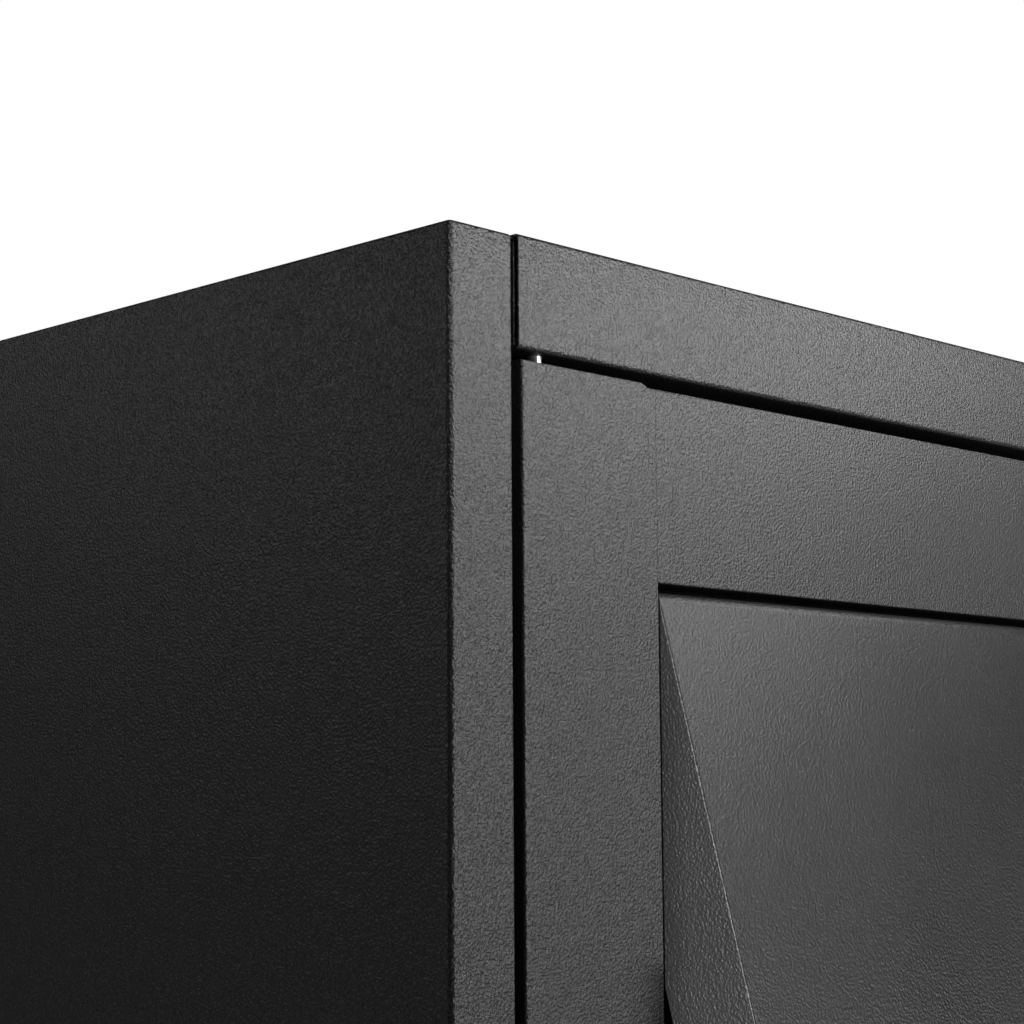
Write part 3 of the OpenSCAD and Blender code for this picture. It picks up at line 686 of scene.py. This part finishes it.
def rivets():
    """Blind rivets up the rear flanges: domed heads with a pulled stem in the middle."""
    hi = corners("back_rivets")[1]
    x = hi[0] - 3.5 * MM
    heights = np.linspace(SIDE_LO[2] + 60 * MM, SIDE_HI[2] - 60 * MM, 7)
    levels = [(2.0, -2.0), (2.0, 0.0), (3.45, 0.0), (3.5, 0.15), (3.1, 0.55), (2.3, 0.9), (1.5, 1.0),
              (1.2, 0.98), (1.1, 0.5), (0.95, 0.45), (0.85, 0.8), (0.4, 0.85)]
    levels = [(r * MM, d * MM) for r, d in levels]
    shells = [shaped(levels, (i, BACK, z), (0, 1, 0)) for i in (-x, x) for z in heights]
    verts, faces = joined(shells)
    return add_mesh("blind_rivets", verts, faces, "cabinet", ["back_rivets"], ZINC, flat_from=0)


# ---------------------------------------------------------------- locks


def lock(door):
    """A cam lock: a barrel with a thread of ring grooves behind a round-edged rosette, a hexagon nut
    whose corners are cut by a cone, a plug with a keyway, and the screw that holds the cam."""
    lo, hi = corners(f"{door}_lock_barrel")
    x, z = (lo[0] + hi[0]) / 2, (lo[2] + hi[2]) / 2
    front = lo[1]
    place = (x, front, z)
    end = hi[1] - front
    axis = (0, 1, 0)
    thread = np.arange(8.5 * MM, end - 0.9 * MM, 0.3125 * MM)
    ridge = 9 * MM - 0.45 * MM * np.abs((thread / (1.25 * MM)) % 1 * 2 - 1)
    profile = [(5.55, 0.45), (5.9, 0.1), (6.3, 0.0), (7.2, 0.12), (10.4, 0.12), (11.3, 0.25),
               (11.85, 0.75), (12, 1.4), (12, 2), (9, 2)]
    profile = [(r * MM, d * MM) for r, d in profile] + list(zip(ridge, thread))
    profile += [(8.6 * MM, end), (5.55 * MM, end)]
    verts, faces = joined([ringed(turned(profile, place, axis))])
    add_mesh(f"{door}_barrel", verts, faces, f"{door}_door",
             [f"{door}_lock_barrel"], CHROME, 50, 0)

    nut_lo, nut_hi = corners(f"{door}_lock_nut")
    flat = 14 * MM * cos(pi / 6) * facets(6)
    start, stop = nut_lo[1] - front, nut_hi[1] - front
    hole = 9 * MM
    cone = np.minimum(flat, 13.0 * MM)
    levels = [(hole + 0.5 * MM, start), (cone, start), (np.minimum(flat, 14 * MM), start + 0.6 * MM),
              (np.minimum(flat, 14 * MM), stop - 0.6 * MM), (cone, stop), (hole + 0.5 * MM, stop),
              (hole, stop - 0.5 * MM), (hole, start + 0.5 * MM)]
    verts, faces = joined([shaped(levels, place, axis, closed=True)])
    add_mesh(f"{door}_nut", verts, faces, f"{door}_door", [f"{door}_lock_nut"], ZINC, 25, 0)

    plug_end = corners(f"{door}_lock_plug")[1][1] - front
    key = slot_shape(0.6 * MM, 3.5 * MM)
    levels = [(3.2 * MM, plug_end), (3.4 * MM, plug_end - 0.3 * MM), (3.4 * MM, plug_end - 3.2 * MM),
              (5.3 * MM, plug_end - 3.2 * MM), (5.5 * MM, plug_end - 3.5 * MM), (5.5 * MM, 0.5 * MM),
              (5.35 * MM, 0.15 * MM), (5.0 * MM, 0.0), (4.2 * MM, 0.0), (key * 1.25, 0.0),
              (key, 0.25 * MM), (key, 8 * MM)]
    verts, faces = joined([shaped(levels, place, axis)])
    add_mesh(f"{door}_plug", verts, faces, f"{door}_lock",
             [f"{door}_lock_plug"], CHROME, 35, 0)

    screw_lo, screw_hi = corners(f"{door}_cam_screw")
    verts, faces = joined([socket_screw(2 * MM, screw_hi[1] - 2.5 * MM - screw_lo[1], 6 * MM, 2.5 * MM,
                                        (x, screw_lo[1], z), axis)])
    add_mesh(f"{door}_cam_screw_head", verts, faces, f"{door}_lock",
             [f"{door}_cam_screw"], ZINC, 35, 0)


def socket_screw(shank, length, head, high, place, axis):
    """A screw: a shank, then a domed head with a hexagon socket in its middle."""
    socket = head * 0.42 * facets(6)
    levels = [(shank * 0.7, 0.0), (shank, shank * 0.3), (shank, length), (head * 0.96, length),
              (head, length + high * 0.1), (head, length + high * 0.35), (head * 0.93, length + high * 0.7),
              (head * 0.78, length + high * 0.92), (head * 0.6, length + high), (socket, length + high),
              (socket, length + high * 0.35)]
    return shaped(levels, place, axis)


# ---------------------------------------------------------------- doors


def inset_row(outline, normals, radii, angle):
    """A row of a rounded front edge: each outline point moves in by r (1 - cos a) along its own normal
    and lies r (1 - sin a) behind the face, with r taken from the side of the outline that the point is
    on."""
    rx, rz = radii
    weight = np.abs(normals) / np.abs(normals).sum(1)[:, None]
    depth = weight[:, 0] * rx + weight[:, 1] * rz
    moved = outline - normals * np.stack([rx, rz], 1) * (1 - cos(angle))
    return moved, depth * (1 - sin(angle))


def loop_normals(loop):
    """Outward mitre normals of a closed loop that runs anticlockwise: the mean of the two edges'
    normals over the cosine of half the turn between them."""
    edge = np.roll(loop, -1, 0) - loop
    edge /= np.linalg.norm(edge, axis=1)[:, None]
    out = np.stack([edge[:, 1], -edge[:, 0]], 1)
    mean = out + np.roll(out, 1, 0)
    mean /= np.linalg.norm(mean, axis=1)[:, None]
    return mean / np.einsum("ij,ij->i", mean, out)[:, None].clip(0.3)


def pressed(outline, left, right, top, bottom, y0, depth, thick):
    """A folded channel or tray, open at the back: an outline in (x, z) whose front edges are arcs of a
    radius of their own on each side, then walls straight back to depth, a round rim, and the same
    surface again one sheet thickness further in."""
    normals = loop_normals(outline)
    rx = np.where(normals[:, 0] < 0, left, right)
    rz = np.where(normals[:, 1] > 0, top, bottom)
    rows = []

    def row(loop, y):
        y = np.broadcast_to(y, (len(loop),))
        rows.append(np.stack([loop[:, 0], y, loop[:, 1]], 1))

    for a in np.linspace(pi / 2, 0, 7):
        loop, y = inset_row(outline, normals, (rx, rz), a)
        row(loop, y0 + y)
    rim = thick * 0.3
    for a in np.linspace(0, pi / 2, 4):
        row(outline - normals * rim * (1 - cos(a)), y0 + depth - rim * (1 - sin(a)))
    for a in np.linspace(pi / 2, 0, 4):
        row(outline - normals * (thick - rim * (1 - cos(a))), y0 + depth - rim * (1 - sin(a)))
    row(outline - normals * thick, y0 + thick + np.maximum(rx, rz).max())
    row(outline - normals * (thick + 0.5 * MM), y0 + thick)
    return stack(np.array(rows))


def box_outline(x0, x1, z0, z1):
    """The four sides of a rectangle, anticlockwise in (x, z)."""
    return np.array([(x0, z0), (x1, z0), (x1, z1), (x0, z1)], float)


def stepped_outline(x0, x1, z0, z1):
    """A hinge stile's outline: its top is STEP higher over the first STEP_FROM, then falls as t^2
    (3 - 2 t)."""
    t = np.linspace(0, 1, 13)
    fall = t * t * (3 - 2 * t)
    curve = np.stack([x0 + STEP_FROM + STEP_LEN * t, z1 + STEP * (1 - fall)], 1)[::-1]
    return np.concatenate([[(x0, z0), (x1, z0), (x1, z1)], curve, [(x0, z1 + STEP)]])


def door_member(node, body, edges, stepped=False):
    """One channel of a door frame, with its own edge radii (left, right, top, bottom)."""
    lo, hi = corners(node)
    if stepped:
        outline = stepped_outline(lo[0], hi[0], lo[2], hi[2] - STEP)
    else:
        outline = box_outline(lo[0], hi[0], lo[2], hi[2])
    verts, faces = joined([pressed(outline, *edges, lo[1], hi[1] - lo[1], DOOR_SHEET)])
    return add_mesh(node + "_channel", verts, faces, body, [node], BLACK_DOOR)


def door_frames():
    """The four channels of each door's frame."""
    for door, body in (("upper", "upper_door"), ("lower", "lower_door")):
        door_member(f"{door}_hinge_stile", body, (DOOR_BEND, BUTT, DOOR_TOP_BEND, DOOR_TOP_BEND),
                    stepped=True)
        door_member(f"{door}_lock_stile", body, (BUTT, DOOR_BEND, DOOR_TOP_BEND, DOOR_TOP_BEND))
        door_member(f"{door}_top_rail", body, (BUTT, BUTT, DOOR_TOP_BEND, OPENING_BEND))
        door_member(f"{door}_bottom_rail", body, (BUTT, BUTT, OPENING_BEND, DOOR_TOP_BEND))


def lower_tray():
    """Lower infill: a shallow tray set back in the door's opening, with small radii all round its front."""
    lo, hi = corners("lower_infill")
    edges = (DOOR_TOP_BEND, DOOR_TOP_BEND, DOOR_TOP_BEND, DOOR_TOP_BEND)
    shell = pressed(box_outline(lo[0], hi[0], lo[2], hi[2]), *edges, lo[1], hi[1] - lo[1], DOOR_SHEET)
    verts, faces = joined([shell])
    return add_mesh("lower_tray", verts, faces, "lower_door", ["lower_infill"], BLACK_FLAP)


# ---------------------------------------------------------------- flap

TILT = joints["flap_tilt"]
ROD = np.array(TILT["pos_m"])
FLAP_REST = radians(-TILT["range_deg"][0])
CURL = 5.0 * MM           # outside radius of the curl round the rod
CHEEK = 37.0 * MM         # depth of the side cheeks
CHAMFER = 21.2 * MM       # height over which the cheeks are cut back
FLAP_SIDE = 7.0 * MM      # from the rod's end to the flap's side
FLAP_GAP = 2.8 * MM       # between the shut flap and the rail below it
FLAP_LENGTH = ROD[2] - corners("upper_bottom_rail")[1][2] - FLAP_GAP


def hung(verts):
    """Turns points drawn for the shut flap about its rod to where the flap stands: y' = y cos a + z sin a,
    z' = z cos a - y sin a."""
    y = verts[:, 1] * cos(FLAP_REST) + verts[:, 2] * sin(FLAP_REST)
    z = verts[:, 2] * cos(FLAP_REST) - verts[:, 1] * sin(FLAP_REST)
    return np.stack([verts[:, 0], y, z], 1) + ROD


def flap_body():
    """The flap: a channel of front and cheeks in (x, y), carried down from the rod, whose cheeks are
    cut back along a 45 degree line at the top; a bottom plate; and the curl, a path of 300 degrees
    round the rod."""
    half = corners("flap_rod")[1][0] - FLAP_SIDE
    length = FLAP_LENGTH
    t = DOOR_SHEET
    back = CHEEK - CURL
    levels = np.concatenate([[-length, -length + 0.2 * MM, -length + 0.5 * MM],
                             [-CHAMFER, -CHAMFER * 0.75, -CHAMFER * 0.5, -CHAMFER * 0.25, 0.0]])
    thins = np.array([0.35, 0.08, 0, 0, 0, 0, 0, 0]) * MM
    rows = []
    for level, thin in zip(levels, thins):
        end = min(back, back - CHAMFER - level)
        path = rounded_path([(half - t / 2, end), (half - t / 2, t / 2 - CURL), (-half + t / 2, t / 2 - CURL),
                             (-half + t / 2, end)], FLAP_BEND - t / 2)
        loop = thick_loop(path, t / 2 - thin, trim=t / 2)
        rows.append(np.hstack([loop, np.full((len(loop), 1), level)]))
    shells = [stack(np.array(rows))]
    shells.append(plate((-half + t * 0.5, -CURL + t * 0.5, -length), (half - t * 0.5, back, -length + t)))
    a = np.radians(np.linspace(180, -120, 49))
    r = CURL - t / 2
    curl = np.stack([r * np.cos(a), r * np.sin(a)], 1)
    rows = []
    for x, thin in ((-half, 0.3), (-half + 0.1 * MM, 0.08), (-half + 0.3 * MM, 0), (half - 0.3 * MM, 0),
                    (half - 0.1 * MM, 0.08), (half, 0.3)):
        loop = thick_loop(curl, t / 2 - thin * MM)
        rows.append(np.hstack([np.full((len(loop), 1), x), loop]))
    shells.append(stack(np.array(rows)))
    verts, faces = joined(shells)
    return add_mesh("flap_shell", hung(verts), faces, "flap", ["flap_pan"], BLACK_FLAP)


def flap_handle():
    """The flap's pull: a turned bar with rounded ends, on two posts that flare where they meet the
    flap; and the screws behind them."""
    level = 30 * MM - FLAP_LENGTH
    bar, post, off = 5 * MM, 4 * MM, 24 * MM
    half = corners("flap_pull")[1][0]
    across = 65 * MM
    end = [(0.05 * MM, -half), (bar, -half), (bar, half), (0.05 * MM, half)]
    shells = [stack(turned(rounded_path(end, 1.6 * MM, 8), (0, -CURL - off, level), (1, 0, 0)))]
    levels = [(post * 0.9, 1.0 * MM), (post, 3.0 * MM), (post, off - 2.2 * MM), (post * 1.03, off - 1.4 * MM),
              (post * 1.15, off - 0.7 * MM), (post * 1.35, off - 0.25 * MM), (post * 1.4, off)]
    for x in (-across, across):
        shells.append(shaped(levels, (x, -CURL - off, level), (0, 1, 0)))
    verts, faces = joined(shells)
    add_mesh("flap_handle", hung(verts), faces, "flap", ["flap_pull"], PULL_STEEL, 40, 0)
    shells = [socket_screw(2 * MM, 12 * MM + DOOR_SHEET, 4 * MM, 2.5 * MM,
                           (x, -CURL - 12 * MM, level), (0, 1, 0))
              for x in (-across, across)]
    verts, faces = joined(shells)
    add_mesh("flap_handle_screws", hung(verts), faces, "flap", ["flap_pull_screws"], ZINC, 35, 0)


# ---------------------------------------------------------------- hinge pins


def pins():
    """Hinge pins: a turned shank with a chamfered end and a domed head."""
    shells = []
    r, head, dome = 3.0 * MM, 4.6 * MM, 2.0 * MM
    x, y = joints["upper_door_swing"]["pos_m"][:2]
    rails = ((TOP_LO[2], -1), (corners("mid_rail")[1][2], 1), (corners("mid_rail")[0][2], -1),
             (corners("base_pan")[1][2], 1))
    for z, way in rails:
        foot = z - way * 4 * MM
        length = (14 + 3.5 + 4) * MM
        profile = [(0.01 * MM, -dome), (head * 0.5, -dome), (head, -dome * 0.45), (head, 0), (r, 0),
                   (r, length - 0.6 * MM), (r - 0.6 * MM, length), (0.01 * MM, length)]
        shells.append(stack(turned(eased(profile, 0.15 * MM), (x, y, foot), (0, 0, way))))
    verts, faces = joined(shells)
    return add_mesh("turned_hinge_pins", verts, faces, "cabinet",
                    ["hinge_pins"], STEEL, 40, 0)


# ---------------------------------------------------------------- build

finish_cad_nodes()
side_panel("left_side_panel", 1, 0)
side_panel("right_side_panel", -1, STOP_LIP)
top_cover()
middle_rail()
base_tray()
rear_sheet()
feet()
rivets()
door_frames()
lower_tray()
lock("upper")
lock("lower")
flap_body()
flap_handle()
pins()

# ---------------------------------------------------------------- camera, light and floor


CAMERA_TURN = (45.516, 7.468, -0.339)         # degrees to the right, up, and leaning
CAMERA_FROM_CORNER = (-0.5081, -0.5279, -0.1966)  # its place from the cabinet's top left front corner
LENS = 77.96
SENSOR = 36


def camera():
    """The camera stands in front and to the left of the cabinet's top corner and looks slightly up."""
    yaw, pitch, roll = [radians(a) for a in CAMERA_TURN]
    corner = np.array([SIDE_LO[0], FRONT, SIDE_HI[2]])
    place = corner + np.array(CAMERA_FROM_CORNER)
    level = np.array([sin(yaw), cos(yaw), 0])
    right0 = np.array([cos(yaw), -sin(yaw), 0])
    up0 = np.array([0, 0, 1.0])
    ahead = level * cos(pitch) + up0 * sin(pitch)
    up1 = up0 * cos(pitch) - level * sin(pitch)
    right = right0 * cos(roll) + up1 * sin(roll)
    up = up1 * cos(roll) - right0 * sin(roll)
    data = bpy.data.cameras.new("camera")
    data.sensor_width = SENSOR
    data.lens = LENS
    data.clip_start = 0.01
    cam = bpy.data.objects.new("camera", data)
    bpy.context.scene.collection.objects.link(cam)
    turn = np.eye(4)
    turn[:3, 0], turn[:3, 1], turn[:3, 2], turn[:3, 3] = right, up, -ahead, place
    cam.matrix_world = Matrix(turn.tolist())
    bpy.context.scene.camera = cam


def area_light(name, place, target, width, height, watts):
    """A rectangular soft light at a place, facing a target."""
    data = bpy.data.lights.new(name, "AREA")
    data.shape = "RECTANGLE"
    data.size = width
    data.size_y = height
    data.energy = watts
    lamp = bpy.data.objects.new(name, data)
    bpy.context.scene.collection.objects.link(lamp)
    back = np.array(place, float) - np.array(target, float)
    back /= np.linalg.norm(back)
    right = np.cross([0, 0, 1.0], back)
    right /= np.linalg.norm(right)
    up = np.cross(back, right)
    turn = np.eye(4)
    turn[:3, 0], turn[:3, 1], turn[:3, 2], turn[:3, 3] = right, up, back, place
    lamp.matrix_world = Matrix(turn.tolist())
    lamp.visible_camera = False
    return lamp


def linked(name, pieces, state):
    """A collection that tells a light which pieces it lights, or leaves out."""
    group = bpy.data.collections.new(name)
    for piece in pieces:
        group.objects.link(piece)
    for entry in group.collection_objects:
        entry.light_linking.link_state = state
    return group


# each soft box: its name, its place, the point it faces, its width and height, and its watts
SOFT_BOXES = (
    ("right_box", (1.3, -1.81, 1.0), (-0.1, -0.21, 1.0), 0.65, 0.42, 6.8),
    ("front_box", (0.6, -1.81, 1.0), (-0.1, -0.21, 1.0), 0.65, 0.42, 10.6),
    ("front_near_box", (0.1, -0.51, 1.25), (0.1, -0.21, 1.1), 0.22, 0.16, 0.9),
    ("top_strip", (-0.04, -0.33, 1.24), (-0.04, -0.21, 1.18), 0.7, 0.04, 0.62),
    ("left_box", (-1.48, 1.0, 1.4), (-0.28, 0.1, 1.1), 0.56, 0.44, 1.6),
    ("left_near_box", (-0.68, 0.4, 1.4), (-0.28, 0.1, 1.1), 0.32, 0.28, 0.32),
    ("back_box", (0.5, 2.2, 1.5), (0.0, 0.21, 0.7), 1.2, 1.2, 14),
    ("far_side_box", (2.2, 0.5, 1.4), (0.28, 0.0, 0.7), 1.0, 1.2, 10),
)
FLAP_BOX = ("flagged_box", (-1.5, -0.32, 1.05), (-0.17, -0.26, 0.92), 0.5, 0.7, 36)
LOW_BOX = ("low_front_box", (0.6, -1.8, 0.5), (0.0, -0.21, 0.4), 0.9, 0.6, 7)


def studio():
    """A white surround, dark where it lights the object, a pale floor and soft boxes. Each soft box is
    made twice: one lights all but the upper hinge stile, and its twin lights only that stile, without
    the flap's shadow. One more lights only the flap, and one only the lower door."""
    world = bpy.data.worlds.new("studio")
    bpy.context.scene.world = world
    world.use_nodes = True
    tree = world.node_tree
    tree.nodes.clear()
    seen = tree.nodes.new("ShaderNodeBackground")
    seen.inputs["Color"].default_value = (1, 1, 1, 1)
    fill = tree.nodes.new("ShaderNodeBackground")
    fill.inputs["Color"].default_value = (1, 1, 1, 1)
    fill.inputs["Strength"].default_value = 0.0
    path = tree.nodes.new("ShaderNodeLightPath")
    mix = tree.nodes.new("ShaderNodeMixShader")
    output = tree.nodes.new("ShaderNodeOutputWorld")
    tree.links.new(path.outputs["Is Camera Ray"], mix.inputs[0])
    tree.links.new(fill.outputs[0], mix.inputs[1])
    tree.links.new(seen.outputs[0], mix.inputs[2])
    tree.links.new(mix.outputs[0], output.inputs["Surface"])
    bpy.context.scene.view_settings.view_transform = "Standard"
    verts = np.array([(-1, -1, 0), (1, -1, 0), (1, 1, 0), (-1, 1, 0)], float) * FLOOR_HALF
    mesh = bpy.data.meshes.new("floor")
    mesh.from_pydata(verts.tolist(), [], [[0, 1, 2, 3]])
    mesh.materials.append(FLOOR)
    floor = bpy.data.objects.new("floor", mesh)
    bpy.context.scene.collection.objects.link(floor)
    stile = bpy.data.objects["upper_hinge_stile_channel"]
    flap = bpy.data.objects["flap_shell"]
    all_but_stile = linked("all_but_stile", [stile], "EXCLUDE")
    only_stile = linked("only_stile", [stile], "INCLUDE")
    through_flap = linked("through_flap", [flap], "EXCLUDE")
    for name, place, target, width, height, watts in SOFT_BOXES:
        rest = area_light(name, place, target, width, height, watts)
        rest.light_linking.receiver_collection = all_but_stile
        twin = area_light(name + "_stile", place, target, width, height, watts)
        twin.light_linking.receiver_collection = only_stile
        twin.light_linking.blocker_collection = through_flap
    cheek = area_light(*FLAP_BOX)
    cheek.light_linking.receiver_collection = linked("lit_by_flagged_box", [flap], "INCLUDE")
    low = [piece for piece in bpy.data.objects if piece.name.startswith("lower_") and piece.name not in nodes]
    low_box = area_light(*LOW_BOX)
    low_box.light_linking.receiver_collection = linked("lit_by_low_box", low, "INCLUDE")


camera()
studio()
